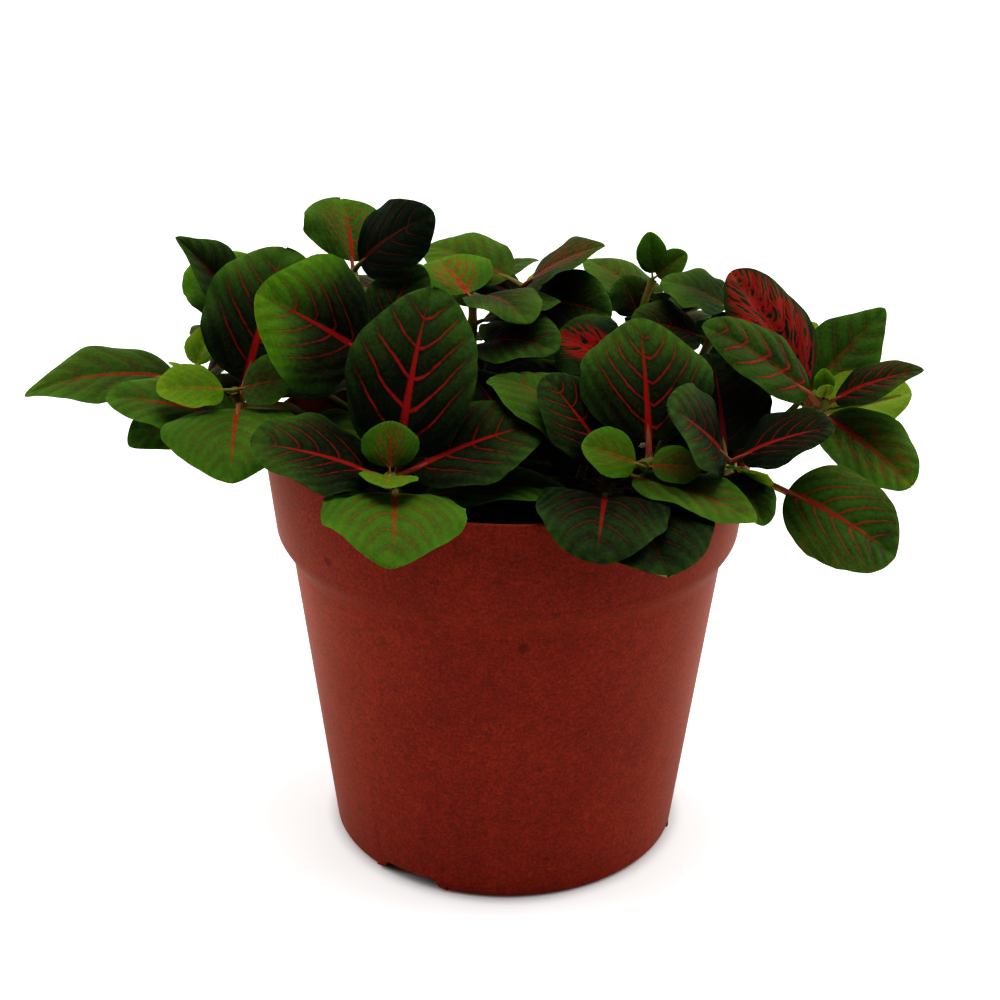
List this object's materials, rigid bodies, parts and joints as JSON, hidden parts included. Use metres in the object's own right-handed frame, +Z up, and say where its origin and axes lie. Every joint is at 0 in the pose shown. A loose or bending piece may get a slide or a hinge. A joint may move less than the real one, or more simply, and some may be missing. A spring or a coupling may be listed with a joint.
{
  "type": "potted nerve plant",
  "caption": "Red-veined nerve plant with crowded oval leaves on short shoots that spill over the rim of a tapered, wide-banded nursery pot filled with soil.",
  "frame": {"origin": "middle of the pot's flat underside, on the floor it stands on", "axes": "+Z up; -Y towards the side with the low leaves that hang over the rim in two groups; +X to the right as seen from that side"},
  "size_m": [0.2138, 0.1668, 0.1623],
  "materials": {
    "terracotta_plastic": "thin moulded plastic, matte red-brown, faintly mottled",
    "potting_soil": null,
    "foliage": null
  },
  "bodies": {
    "root": {"pot": "terracotta_plastic", "soil": "potting_soil", "shoot_front_left": "foliage", "shoot_left": "foliage", "shoot_far_left": "foliage", "shoot_back_left": "foliage", "shoot_middle_left": "foliage", "shoot_middle": "foliage", "shoot_middle_back": "foliage", "shoot_tall": "foliage", "shoot_right_back": "foliage", "shoot_middle_right": "foliage", "shoot_inner": "foliage", "shoot_front_right": "foliage", "shoot_right": "foliage", "shoot_far_right": "foliage", "shoot_rear_left": "foliage", "shoot_rear_middle_left": "foliage", "shoot_rear_middle": "foliage", "shoot_rear_right": "foliage", "shoot_rear_far_right": "foliage"}
  },
  "joints": []
}
